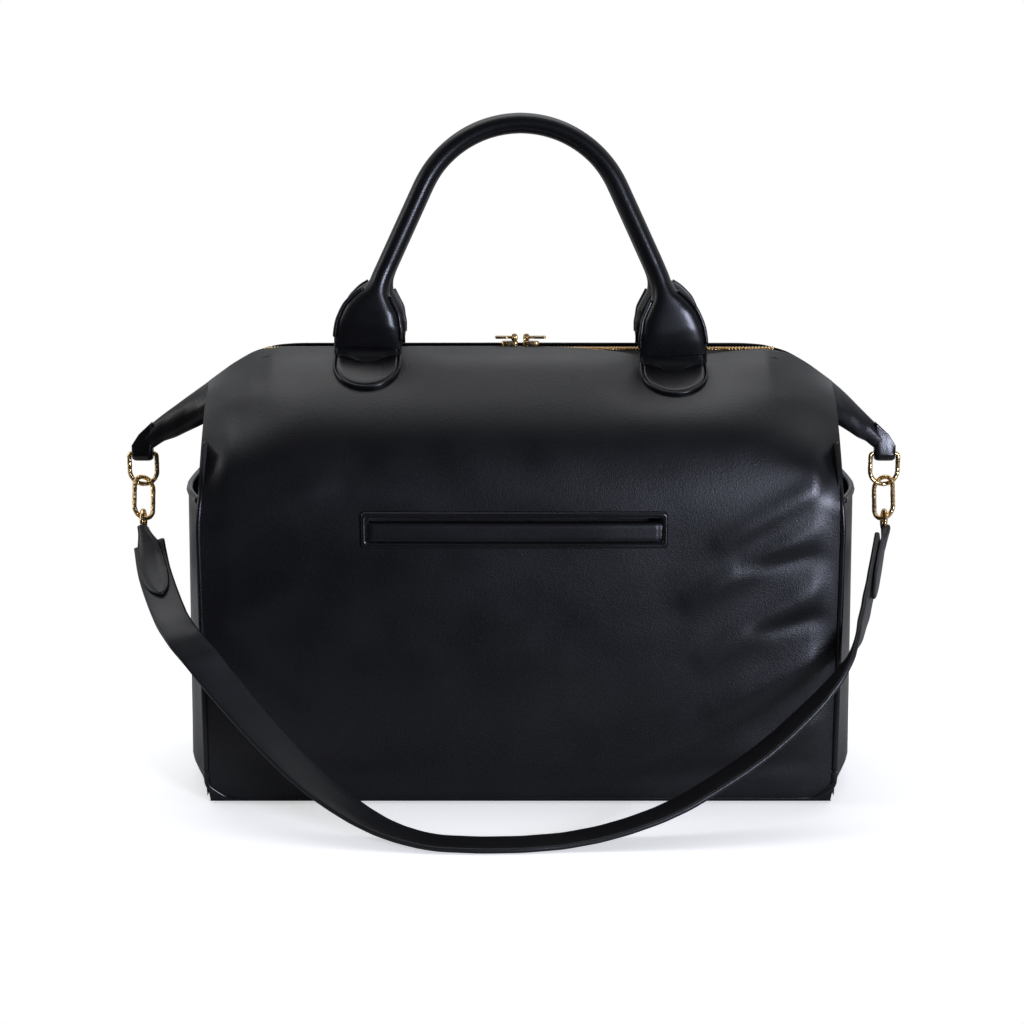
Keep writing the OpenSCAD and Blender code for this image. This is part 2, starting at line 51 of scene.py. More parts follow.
cam_data = bpy.data.cameras.new("camera")
cam_data.lens = 68.16
cam_data.sensor_width = 36
cam_data.clip_end = 60
cam = bpy.data.objects.new("camera", cam_data)
cam.location = (-0.0056, -1.285, 0.460)
cam.rotation_euler = (math.radians(90 - 12.44), 0, 0)
bpy.context.scene.collection.objects.link(cam)
bpy.context.scene.camera = cam


# ---- Leather ----
# Smooth black cowhide with a fine pebbled grain, about 1 mm across, and a soft semi-matt finish. The rolled
# handles and pipings are smoother and shinier, and the strap is a little lighter and duller.

def linear(code):
    """A hex sRGB colour as a linear RGBA tuple."""
    c = np.array([int(code[i:i + 2], 16) for i in (1, 3, 5)]) / 255
    c = np.where(c <= 0.04045, c / 12.92, ((c + 0.055) / 1.055) ** 2.4)
    return (float(c[0]), float(c[1]), float(c[2]), 1.0)


def add(tree, kind, links=None, **values):
    """Adds a shader node, sets properties and inputs by name and joins sockets given in links."""
    n = tree.nodes.new(kind)
    for key, value in values.items():
        if hasattr(n, key):
            setattr(n, key, value)
        else:
            n.inputs[key.replace("_", " ")].default_value = value
    for socket, source in (links or {}).items():
        tree.links.new(source, n.inputs[socket])
    return n


def material(name):
    """A fresh node material with its Principled shader."""
    m = bpy.data.materials.new(name)
    m.use_nodes = True
    return m, m.node_tree, m.node_tree.nodes["Principled BSDF"]


def leather_material(name, colour, rough, grain, dent):
    """Pores and a pebbled grain as two bumps, and a roughness that wanders by 0.05 over a few centimetres."""
    m, tree, shader = material(name)
    at = add(tree, "ShaderNodeTexCoord").outputs["Object"]
    pebble = add(tree, "ShaderNodeTexVoronoi", {"Vector": at}, Scale=1150.0)
    pores = add(tree, "ShaderNodeTexNoise", {"Vector": at}, Scale=420.0, Detail=3.0)
    soft = add(tree, "ShaderNodeTexNoise", {"Vector": at}, Scale=26.0, Detail=2.0)
    wear = add(tree, "ShaderNodeMapRange", {"Value": soft.outputs[0]}, From_Min=0.3, From_Max=0.7,
               To_Min=rough - 0.04, To_Max=rough + 0.05)
    low = add(tree, "ShaderNodeBump", {"Height": pores.outputs[0]}, Strength=dent, Distance=0.0006)
    fine = add(tree, "ShaderNodeBump", {"Height": pebble.outputs["Distance"], "Normal": low.outputs[0]},
               Strength=grain, Distance=0.0002)
    shader.inputs["Base Color"].default_value = linear(colour)
    shader.inputs["Specular IOR Level"].default_value = 0.42
    tree.links.new(wear.outputs[0], shader.inputs["Roughness"])
    tree.links.new(fine.outputs[0], shader.inputs["Normal"])
    return m


black_leather = leather_material("black leather", "#0d0d0f", 0.36, 0.30, 0.10)
handle_leather = leather_material("rolled handle leather", "#0c0c0e", 0.29, 0.14, 0.06)
strap_leather = leather_material("strap leather", "#121214", 0.40, 0.22, 0.06)


# ---- Outer shell ----
# Front and rear: one piece of leather each, from the base seam up over the shoulder to the zip. Lofted:
# every row runs level across the middle and falls and narrows towards the edge where it meets the side.

ZIP_Z = 0.2910
SHOULDER_Y = 0.0200
HALF_TOP = 0.2085
LIP_EDGE_Y = 0.0088
FACE_Y = 0.0876
# The half profile (depth, height) from the base seam to the lip's edge, and the lip's turned-in hem.
PROFILE = [(0.0845, 0.0012), (0.0872, 0.0030), (FACE_Y, 0.0100), (FACE_Y, 0.2000), (0.0858, 0.2200),
           (0.0788, 0.2420), (0.0560, 0.2640), (0.0210, 0.2882), (0.0110, 0.2907), (LIP_EDGE_Y, ZIP_Z)]
TURN_IN = [(0.0078, 0.2906), (0.0080, 0.2896), (0.0120, 0.2886), (0.0180, 0.2872)]
# The ridge from the middle to the side (x, height).
TOP_LINE = [(0.000, ZIP_Z), (0.150, 0.2908), (0.163, 0.2900), (0.178, 0.2862), (0.192, 0.2782),
            (0.205, 0.2688), (HALF_TOP, 0.2662)]
# A row's height in the middle, then the x, y and z where it ends at the side.
EDGE = np.array([(0.0012, 0.2030, 0.0845, 0.0012), (0.0100, 0.2040, 0.0876, 0.0100),
                 (0.2000, 0.2040, 0.0872, 0.2000), (0.2200, 0.2042, 0.0790, 0.2180),
                 (0.2420, 0.2046, 0.0620, 0.2370), (0.2640, 0.2054, 0.0420, 0.2530),
                 (0.2780, 0.2066, 0.0230, 0.2625), (0.2882, 0.2078, 0.0070, 0.2655),
                 (ZIP_Z, HALF_TOP, 0.0012, 0.2662)])


def step(x, a, b):
    """0 below a, 1 above b, 3t^2 - 2t^3 between."""
    t = np.clip((np.asarray(x, float) - a) / (b - a), 0, 1)
    return t * t * (3 - 2 * t)


def soften(values, passes):
    """Passes of a 1-2-1 filter, q = (before + 2 q + after) / 4, that leave both ends in place."""
    q = np.array(values, float)
    for _ in range(passes):
        q[1:-1] = (q[:-2] + 2 * q[1:-1] + q[2:]) / 4
    return q


def run_along(points):
    """How far each point of a polyline is from its start, measured along it."""
    return np.concatenate([[0], np.cumsum(np.linalg.norm(np.diff(points, axis=0), axis=1))])


def eased(points, count, passes):
    """count points evenly along a polyline, its corners rounded by soften."""
    p = np.asarray(points, float)
    s = run_along(p)
    t = np.linspace(0, s[-1], count)
    return soften(np.stack([np.interp(t, s, c) for c in p.T], 1), passes)


def soft_profile():
    """The half profile in 400 steps, crisp at the base and rounded over 12 mm at the shoulder and fold."""
    crisp = eased(PROFILE, 400, 6)
    soft = eased(PROFILE, 400, 420)
    t = step(crisp[:, 1], 0.100, 0.200)[:, None] * (1 - step(np.arange(400), 392, 399))[:, None]
    return crisp * (1 - t) + soft * t


SEAM = soft_profile()


def curve_at(values, x):
    """A line through (x, value) pairs, straight between them and then rounded by soften, read at x."""
    v = np.asarray(values, float)
    fine = np.linspace(v[0, 0], v[-1, 0], 400)
    return np.interp(x, fine, soften(np.interp(fine, v[:, 0], v[:, 1]), 60))


def edge_of(v):
    """Where the row that starts at height fraction v ends: up the side seam, then in and up to the ridge
    at the end of the zip line. Returns x, y (depth from the middle plane), z."""
    z0 = np.interp(v, np.linspace(0, 1, 400), SEAM[:, 1])
    return tuple(curve_at(EDGE[:, [0, k]], z0) for k in (1, 2, 3))


def puff(x, z):
    """Outward swell of a filled face, and its creases: ridges h exp(-(d / w)^2) along short segments."""
    across_bell = np.cos(np.clip(x / 0.205, -1, 1) * math.pi / 2) ** 0.8
    up_bell = np.sin(np.clip(z / 0.235, 0, 1) * math.pi) ** 0.9
    swell = 0.0052 * across_bell * up_bell
    creases = [
        (0.118, 0.100, 0.196, 0.150, 0.0100, 0.0021), (0.108, 0.138, 0.190, 0.186, 0.0085, 0.0017),
        (0.126, 0.066, 0.198, 0.104, 0.0100, 0.0018), (0.128, 0.176, 0.192, 0.214, 0.0080, 0.0014),
        (0.150, 0.118, 0.198, 0.128, 0.0060, -0.0014), (0.140, 0.160, 0.196, 0.168, 0.0060, -0.0012),
        (0.140, 0.030, 0.200, 0.062, 0.0090, 0.0014), (-0.196, 0.180, -0.120, 0.214, 0.0100, 0.0013),
        (-0.198, 0.120, -0.130, 0.160, 0.0120, 0.0010), (-0.190, 0.028, -0.060, 0.018, 0.0090, -0.0009),
        (0.060, 0.016, 0.190, 0.030, 0.0080, -0.0010), (-0.060, 0.236, 0.040, 0.230, 0.0120, 0.0010)]
    out = swell
    for x0, z0, x1, z1, width, height in creases:
        dx, dz = x1 - x0, z1 - z0
        t = ((x - x0) * dx + (z - z0) * dz) / (dx * dx + dz * dz)
        across = (x - x0) - np.clip(t, 0, 1) * dx, (z - z0) - np.clip(t, 0, 1) * dz
        d2 = across[0] ** 2 + across[1] ** 2
        out = out + height * np.exp(-d2 / width ** 2) * step(t, -0.3, 0.3) * (1 - step(t, 0.75, 1.2))
    rest = step(z, 0.004, 0.030) * (1 - step(z, 0.205, 0.245)) * (1 - step(np.abs(x), 0.185, 0.204))
    return out * rest


def sag(x):
    """The slack right half of the front lip hangs 6.5 mm low between its tab and the middle."""
    return 0.0065 * np.exp(-((x - 0.100) / 0.048) ** 2)


def flipped_y(points, front):
    """Points built for the front, mirrored to the rear when front is False."""
    q = np.array(points, float)
    if not front:
        q[..., 1] *= -1
    return q


def shell_points(front, inset=0.0, columns=241, rows=150):
    """Rows v from the base to the zip, columns u from -1 to 1: p = middle + (edge - middle) g(|u|), with g
    the fall of the top line for z and a smooth step for y."""
    v = np.linspace(0, 1, rows)
    my = np.interp(v, np.linspace(0, 1, 400), SEAM[:, 0])
    mz = np.interp(v, np.linspace(0, 1, 400), SEAM[:, 1])
    ex, ey, ez = edge_of(v)
    u = np.linspace(-1, 1, columns)
    u = np.sign(u) * (1 - (1 - np.abs(u)) ** 1.15)
    x = u[None, :] * ex[:, None]
    along = np.linspace(0, HALF_TOP, 300)
    line = curve_at(TOP_LINE, along)
    g = np.interp(np.abs(u) * HALF_TOP, along, (line[0] - line) / (line[0] - line[-1]))
    z = mz[:, None] + (ez - mz)[:, None] * g[None, :]
    high = step(mz, 0.215, 0.262)[:, None]
    narrow = step(np.abs(u), 0.90, 1)[None, :] * (1 - high) + step(np.abs(u), 0.66, 1)[None, :] * high
    y = my[:, None] + (ey - my)[:, None] * narrow
    close = step(np.abs(x), 0.160, 0.192) * step(mz, 0.262, 0.284)[:, None]
    y = y * (1 - close) + np.minimum(y, 0.0010 + 1.6 * (ZIP_Z - mz)[:, None]) * close
    p = np.stack([x, y, z], -1)
    if front:
        p[..., 2] -= sag(x) * step(mz, 0.245, 0.288)[:, None]
    p[..., 1] += puff(x, p[..., 2]) if front else puff(-x, p[..., 2])
    if inset:
        n = np.cross(np.gradient(p, axis=0), np.gradient(p, axis=1))
        n /= np.linalg.norm(n, axis=2)[..., None] + 1e-12
        p = p - inset * n * np.sign(n[rows // 2, columns // 2, 1])
        p = p[:, np.abs(u) <= 0.985]
    else:
        t = eased(TURN_IN, 8, 1)
        tail = np.repeat(p[-1][None], 8, 0)
        keep = (1 - step(np.abs(p[-1, :, 0]), 0.168, 0.186))[None, :]
        tail[..., 1] += (t[:, :1] - LIP_EDGE_Y) * keep
        tail[..., 2] += t[:, 1:] - ZIP_Z
        p = np.concatenate([p, tail])
    p[..., 1] *= -1
    return flipped_y(p, front)


POCKET_X = -0.0040
SLOT_Z = 0.1893


def mesh(name, points, faces, mat):
    """A smooth mesh object from points and faces in metres."""
    name = name.replace(" ", "_")
    data = bpy.data.meshes.new(name)
    data.from_pydata(np.asarray(points, float).reshape(-1, 3).tolist(), [], [list(f) for f in faces])
    data.polygons.foreach_set("use_smooth", np.full(len(data.polygons), True))
    data.materials.append(mat)
    data.update()
    ob = bpy.data.objects.new(name, data)
    bpy.context.scene.collection.objects.link(ob)
    return ob


def quads(n, m, closed=False, flip=False):
    """Faces of an n by m grid of points; closed joins the last column to the first."""
    i, j = np.meshgrid(np.arange(n - 1), np.arange(m if closed else m - 1), indexing="ij")
    k = (j + 1) % m
    f = np.stack([i * m + j, i * m + k, (i + 1) * m + k, (i + 1) * m + j], -1).reshape(-1, 4)
    return f[:, ::-1] if flip else f


def sheet(name, points, mat, flip):
    """A grid with the front pocket's slot cut out of it: no faces within 92 mm of the slot's middle and
    4 mm of its height."""
    n, m = points.shape[:2]
    faces = quads(n, m, flip=flip)
    mid = points.reshape(-1, 3)[faces].mean(1)
    in_slot = (np.abs(mid[:, 0] - POCKET_X) < 0.0920) & (np.abs(mid[:, 2] - SLOT_Z) < 0.0040)
    cut = in_slot & (mid[:, 1] < 0)
    return mesh(name, points, faces[~cut].tolist(), mat)


def follow_lip(ob):
    """Bakes a piece's placement into its mesh and reads its points."""
    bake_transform(ob)
    co = np.empty(len(ob.data.vertices) * 3)
    ob.data.vertices.foreach_get("co", co)


for which in ("front", "rear"):
    shell = sheet(which + " leather", shell_points(which == "front"), black_leather, which == "front")
    follow_lip(shell)
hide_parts("front_panel", "front_lip")
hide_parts("rear_panel", "rear_lip")


# ---- Sides and drawn corners ----
# Gussets of the same leather between the side seams, closed in a gable at the end of the zip line. Out of
# each gable's middle a folded corner is drawn down and out to the ring.

# The corner's x, top, underside and half thickness. The strap pulls both tips 4.5 mm to the left.
EAR = np.array([(0.1920, 0.2700, 0.2400, 0.0300), (0.2000, 0.2690, 0.2400, 0.0220),
                (0.2070, 0.2672, 0.2405, 0.0150), (0.2145, 0.2615, 0.2362, 0.0112),
                (0.2220, 0.2555, 0.2322, 0.0086), (0.2290, 0.2496, 0.2282, 0.0070),
                (0.2360, 0.2438, 0.2256, 0.0048), (0.2430, 0.2378, 0.2205, 0.0042),
                (0.2480, 0.2328, 0.2180, 0.0036), (0.2510, 0.2290, 0.2190, 0.0030)])
PULL = 0.0045
RING_X, RING_Z = 0.250, 0.217
SIDES = ((-1, "left"), (1, "right"))


def grid(name, points, mat, closed=False, flip=False, caps=False):
    """A mesh through an (n, m, 3) array of points; caps closes the two end rows."""
    n, m = points.shape[:2]
    faces = quads(n, m, closed, flip).tolist()
    if caps:
        first = list(range(m))[::-1]
        last = list(range((n - 1) * m, n * m))
        faces += [first[::-1], last[::-1]] if flip else [first, last]
    return mesh(name, points, faces, mat)


for side, name in SIDES:
    v = np.linspace(0, 1, 150)
    ex, ey, ez = edge_of(v)
    k = np.linspace(-1, 1, 61)
    bow = np.cos(k * math.pi / 2)[None, :]
    out = step(ez, 0.0, 0.03) * (1 - step(ez, 0.190, 0.225))
    x = ex[:, None] + (0.0020 * out)[:, None] * bow - (0.0040 * step(ez, 0.215, 0.240))[:, None] * bow ** 2
    y = ey[:, None] * k[None, :]
    gusset = grid(name + " gusset", np.stack([side * x, y, ez[:, None] + 0 * y], -1), black_leather,
                  flip=side < 0)
    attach(gusset, "bag")
    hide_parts("side_gusset_" + name)

    x = np.linspace(EAR[0, 0], EAR[-1, 0], 70)
    top, low, half = (curve_at(EAR[:, [0, k]], x) for k in (1, 2, 3))
    th = np.linspace(0, 2 * math.pi, 48, endpoint=False)
    c, s = np.cos(th), np.sin(th)
    rise = np.where(c > 0, c ** 1.25, -np.abs(c) ** 0.8)
    spread = np.sign(s) * np.abs(s) ** np.where(c > 0, 1.5, 0.8)
    fold = 0.0010 * np.sin(th * 4 + x[:, None] * 130) * np.abs(spread) * step(x, 0.203, 0.215)[:, None]
    y = half[:, None] * spread[None, :] * (1 + 18 * fold)
    z = (top + low)[:, None] / 2 + (top - low)[:, None] / 2 * rise[None, :]
    x = side * x - PULL * step(x, 0.2060, 0.2480)
    ear = grid(name + " drawn corner", np.stack([x[:, None] + 0 * y, y, z], -1), black_leather,
               closed=True, caps=True, flip=side > 0)
    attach(ear, "bag")
    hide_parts("wing_" + name)


# ---- Base ----
# A flat leather base over a stiff board, closed under the shell.

BASE_X, BASE_Y = 0.2035, 0.0850

x, y = np.meshgrid(np.linspace(-BASE_X, BASE_X, 41), np.linspace(-BASE_Y, BASE_Y, 21))
edge = np.minimum(BASE_X - np.abs(x), BASE_Y - np.abs(y))
turned_up = 0.0016 * (1 - step(edge, 0, 0.006))
base = grid("base leather", np.stack([x, y, turned_up], -1), black_leather, flip=True)
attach(base, "bag")
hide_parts("base_panel")


# ---- Lining ----
# Dark grey twill inside the shell, from the zip tapes down to the floor, and a flat floor over the board.

# Cotton twill: dull, with slanting ribs about half a millimetre apart.
lining_cloth, tree, shader = material("charcoal twill")
at = add(tree, "ShaderNodeTexCoord").outputs["Object"]
twill = add(tree, "ShaderNodeTexWave", {"Vector": at}, bands_direction="DIAGONAL", Scale=700.0,
            Distortion=1.2)
weave = add(tree, "ShaderNodeBump", {"Height": twill.outputs["Fac"]}, Strength=0.35, Distance=0.0003)
shader.inputs["Base Color"].default_value = linear("#2b2928")
shader.inputs["Roughness"].default_value = 0.85
tree.links.new(weave.outputs[0], shader.inputs["Normal"])

INSIDE_X = 0.2005
INSIDE_Z = 0.0072

for which in ("front", "rear"):
    pts = shell_points(which == "front", inset=0.0042, columns=141, rows=90)
    pts[..., 0] = np.clip(pts[..., 0], -INSIDE_X, INSIDE_X)
    pts[..., 2] = np.maximum(pts[..., 2], INSIDE_Z)
    lining = sheet(which + " lining cloth", pts, lining_cloth, which == "rear")
    follow_lip(lining)
    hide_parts(which + "_lining")

for side, name in SIDES:
    z, k = np.meshgrid(np.linspace(INSIDE_Z, 0.2360, 40), np.linspace(-1, 1, 21), indexing="ij")
    depth = np.interp(z, [0, 0.205, 0.225, 0.236], [0.0835, 0.0835, 0.0815, 0.0755])
    wall = np.stack([side * (0.2010 - 0.0030 * np.cos(k * math.pi / 2)), depth * k, z], -1)
    lining = grid(name + " side lining cloth", wall, lining_cloth, flip=side > 0)
    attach(lining, "bag")
    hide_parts("side_lining_" + name)

x, y = np.meshgrid(np.linspace(-INSIDE_X, INSIDE_X, 31), np.linspace(-0.0830, 0.0830, 15))
floor_cloth = grid("floor lining cloth", np.stack([x, y, INSIDE_Z + 0 * x], -1), lining_cloth)
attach(floor_cloth, "bag")
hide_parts("base_lining", "base_board")


# ---- Piping ----
# A 3.8 mm cord covered in leather, sewn into the seam up both sides of each face and along its foot.

def tube(name, line, radius, mat, sides, closed=False):
    """A round tube along a line. Each ring is square to the tangent t, on a = t x guide and b = t x a."""
    p = np.asarray(line, float)
    t = np.gradient(p, axis=0)
    if closed:
        t = np.roll(p, -1, 0) - np.roll(p, 1, 0)
    t /= np.linalg.norm(t, axis=1)[:, None]
    lies_flat = np.ptp(p[:, 2]) < np.ptp(p[:, 1]) + np.ptp(p[:, 0])
    guide = np.array([0.0, 0.0, 1.0]) if lies_flat else np.array([0.0, 1.0, 0.0])
    a = np.cross(t, guide)
    a /= np.linalg.norm(a, axis=1)[:, None] + 1e-12
    b = np.cross(t, a)
    th = np.linspace(0, 2 * math.pi, sides, endpoint=False)
    r = np.broadcast_to(radius, len(p))[:, None, None]
    rings = p[:, None] + r * (np.cos(th)[None, :, None] * a[:, None] + np.sin(th)[None, :, None] * b[:, None])
    if closed:
        rings = np.concatenate([rings, rings[:1]])
    return grid(name, rings, mat, closed=True, flip=True, caps=not closed)


for which in ("front", "rear"):
    ex, ey, ez = edge_of(np.linspace(0.015, 1, 240))
    keep = (ez > 0.012) & (ez < 0.2360)
    tuck = 0.0022 * step(ez, 0.180, 0.215)
    up = np.stack([ex + 0.0006 - tuck, -ey - 0.0002 + tuck, ez], 1)[keep]
    foot = np.stack([np.linspace(-0.2018, 0.2018, 90), np.full(90, -0.0854), np.full(90, 0.0036)], 1)
    line = eased(np.concatenate([up[::-1] * [-1, 1, 1], foot[2:-2], up]), 420, 3)
    piping = tube(which + " piping leather", flipped_y(line, which == "front"), 0.0019, handle_leather, 12)
    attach(piping, "bag")
    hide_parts(which + "_piping")


# ---- Side pockets ----
# Slip pockets of shell leather standing off each side, sewn down its edges, with a bound rolled mouth.

WALL_X = 0.2058
SLIP_HALF, SLIP_TOP = 0.0815, 0.2000

for side, name in SIDES:
    k = np.linspace(-1, 1, 81)
    z = np.linspace(0.0035, SLIP_TOP, 60)
    plan = np.interp(np.abs(k), [0, 0.30, 0.55, 0.72, 0.9, 1.0], [1.0, 0.97, 0.80, 0.56, 0.20, 0.0])
    plan = soften(plan, 6)
    thick = (0.0188 - 0.0046 * z / SLIP_TOP)[:, None] * (0.25 + 0.75 * step(z, 0.0, 0.02)[:, None])
    outer = np.stack([WALL_X + thick * plan[None, :], SLIP_HALF * k[None, :] + 0 * thick,
                      z[:, None] + 0 * plan[None, :]], -1)
    over = np.array([(0.0006, 0, 0.0010), (0.0006, 0, 0.0030), (-0.0004, 0, 0.0041),
                     (-0.0018, 0, 0.0036), (-0.0026, 0, 0.0010)])
    roll = outer[-1][None] + over[:, None]
    inner = outer[::-1] - [0.0026, 0, 0]
    inner[..., 0] = np.maximum(inner[..., 0], 0.2056)
    pocket = grid(name + " pocket leather", np.concatenate([outer, roll, inner]) * [side, 1, 1],
                  black_leather, flip=side < 0)
    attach(pocket, "bag")
    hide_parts("side_pocket_" + name)
    rim = np.stack([outer[-1, :, 0] - 0.0010, outer[-1, :, 1], outer[-1, :, 2] + 0.0018], 1) * [side, 1, 1]
    binding = tube(name + " binding leather", rim, 0.0022, handle_leather, 12)
    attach(binding, "bag")
    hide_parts("pocket_binding_" + name)


# ---- Front pocket ----
# A welted slip pocket: a raised rolled frame, a flat welt that closes most of it, and a twill pouch behind
# the gap. The frame sits 4 mm left of the middle and swells with the front.

def on_front(x, z, proud):
    """Points in front of the shell at x, z, standing proud of it by a distance."""
    return np.stack([x, -FACE_Y - puff(x, z) - proud, z + 0 * x], -1)


POCKET_Z = 0.1850
ROLL = 0.0037
corner = np.linspace(0, math.pi / 2, 7)
half_x, half_z, round_r = 0.0970, 0.0115, 0.0025
arcs = []
for a0, cx, cz in ((-math.pi / 2, 1, -1), (0, 1, 1), (math.pi / 2, -1, 1), (math.pi, -1, -1)):
    t = a0 + corner
    arcs.append(np.stack([cx * (half_x - round_r) + round_r * np.cos(t),
                          cz * (half_z - round_r) + round_r * np.sin(t)], 1))
outline = np.concatenate(arcs + [arcs[0][:1]])
outline = eased(outline, 420, 0)[:-1]
across = np.array([(0.0002, -0.0004), (0.0001, 0.0014), (-0.0005, 0.0024), (-0.0014, 0.0027),
                   (-0.0024, 0.0024), (-0.0032, 0.0014), (-0.0036, 0.0000), (-0.0037, -0.0014)])
inner = outline * [1 - ROLL / half_x, 1 - ROLL / half_z]
way = (inner - outline) / ROLL
rings = outline[:, None] + way[:, None] * -across[None, :, :1]
frame_pts = on_front(rings[..., 0] + POCKET_X, rings[..., 1] + POCKET_Z, across[None, :, 1])
frame_pts = np.concatenate([frame_pts, frame_pts[:1]])
pocket_frame = grid("front pocket frame leather", frame_pts, handle_leather)
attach(pocket_frame, "bag")
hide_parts("front_pocket_frame")

x, t = np.meshgrid(np.linspace(-0.0974, 0.0894, 140), np.linspace(0, 1, 14))
z = 0.1768 + 0.0130 * np.clip(t / 0.86, 0, 1)
proud = 0.0018 - 0.0014 * np.abs(np.clip(t / 0.86, 0, 1) * 2 - 1) ** 6
proud = np.where(t > 0.86, 0.0004 - 0.0030 * (t - 0.86) / 0.14, proud)
proud = proud - 0.0014 * step(np.abs(x - POCKET_X), 0.0905, 0.0925)
welt = grid("front pocket welt leather", on_front(x, z, proud), black_leather)
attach(welt, "bag")
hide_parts("front_pocket_welt")

loop = np.array([(-0.0838, 0.1935), (-0.0834, 0.1975), (-0.0790, 0.1984), (-0.0744, 0.1960),
                 (-0.0738, 0.1700), (-0.0737, 0.1200), (-0.0742, 0.0920), (-0.0790, 0.0888),
                 (-0.0826, 0.0915), (-0.0833, 0.1200), (-0.0834, 0.1700), (-0.0838, 0.1883)])
loop = eased(loop, 90, 3)
x = np.linspace(-0.0995, 0.0915, 60)
pinch = np.sqrt(np.clip(1 - np.abs((x - POCKET_X) / 0.0957) ** 8, 0, 1))
y = -0.0834 + (loop[:, 0] + 0.0834)[None, :] * pinch[:, None]
pouch = grid("front pocket pouch cloth", np.stack([x[:, None] + 0 * y, y, loop[:, 1][None, :] + 0 * y], -1),
             lining_cloth)
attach(pouch, "bag")
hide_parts("front_pocket_bag")


# ---- Handles ----
# Two rolled tubes of leather over a cord, 13 mm thick, that swell and flatten into ends folded onto sewn
# tabs. Each stands on a fold 5 mm above its lip and leans 6 degrees towards the other.

FOLD = (0.02302, 0.29276)
LEAN = math.radians(6)
TUBE_R = 0.0065
TAB_X, TAB_HALF = 0.1000, 0.0222
TAB_ROUND = 0.0130


def handle_points():
    """The tube's middle line (x, height above the fold), its half width and half depth along it.
    Legs lean in 25 degrees to an arch of 70 mm radius about a point 73.5 mm above the fold."""
    tilt = math.radians(25)
    a = np.linspace(tilt, math.pi / 2, 60)
    arch = np.stack([0.070 * np.cos(a), 0.0735 + 0.070 * np.sin(a)], 1)
    foot = [(0.1000, -0.0014), (0.1000, 0.0000), (0.0996, 0.0080), (0.0986, 0.0160), (0.0957, 0.0290),
            (0.0905, 0.0450)]
    half = eased(np.concatenate([foot, arch]), 150, 10)
    s = run_along(half)
    fine = np.linspace(0, 0.4, 1600)
    wide = np.interp(fine, [0, 0.004, 0.008, 0.015, 0.0255, 0.033, 0.038, 0.0435, 0.052, 0.4],
                     [0.0214, 0.0222, 0.0224, 0.0218, 0.0186, 0.0132, 0.0084, 0.0068, TUBE_R, TUBE_R])
    deep = np.interp(fine, [0, 0.003, 0.008, 0.016, 0.026, 0.035, 0.045, 0.055, 0.4],
                     [0.0018, 0.0034, 0.0058, 0.0082, 0.0090, 0.0084, 0.0071, TUBE_R, TUBE_R])
    wide, deep = np.interp(s, fine, soften(wide, 60)), np.interp(s, fine, soften(deep, 60))
    line = np.concatenate([half, half[-2::-1] * [-1, 1]])
    return line, np.concatenate([wide, wide[-2::-1]]), np.concatenate([deep, deep[-2::-1]])


def lean_on(points, front):
    """From a handle's own frame (x, out, up) to the bag's, standing on its lip."""
    x, out, up = points[..., 0], points[..., 1], points[..., 2]
    y = FOLD[0] + out * math.cos(LEAN) - up * math.sin(LEAN)
    z = FOLD[1] + out * math.sin(LEAN) + up * math.cos(LEAN)
    if front:
        z = z - sag(x) * (x > 0) * (1 - step(up, 0.004, 0.060)) * 0.9
    return np.stack([x, -y if front else y, z], -1)


def down_lip(t, h):
    """The point a distance t down the lip from its shoulder and h above the leather (depth, height)."""
    run = run_along(SEAM[::-1])
    y, z = SEAM[::-1, 0], SEAM[::-1, 1]
    at = t + np.interp(SHOULDER_Y, y[:200], run[:200])
    way = np.gradient(np.stack([y, z], 1), axis=0)
    way /= np.linalg.norm(way, axis=1)[:, None]
    wy, wz = np.interp(at, run, way[:, 0]), np.interp(at, run, way[:, 1])
    return np.interp(at, run, y) - wz * h, np.interp(at, run, z) + wy * h


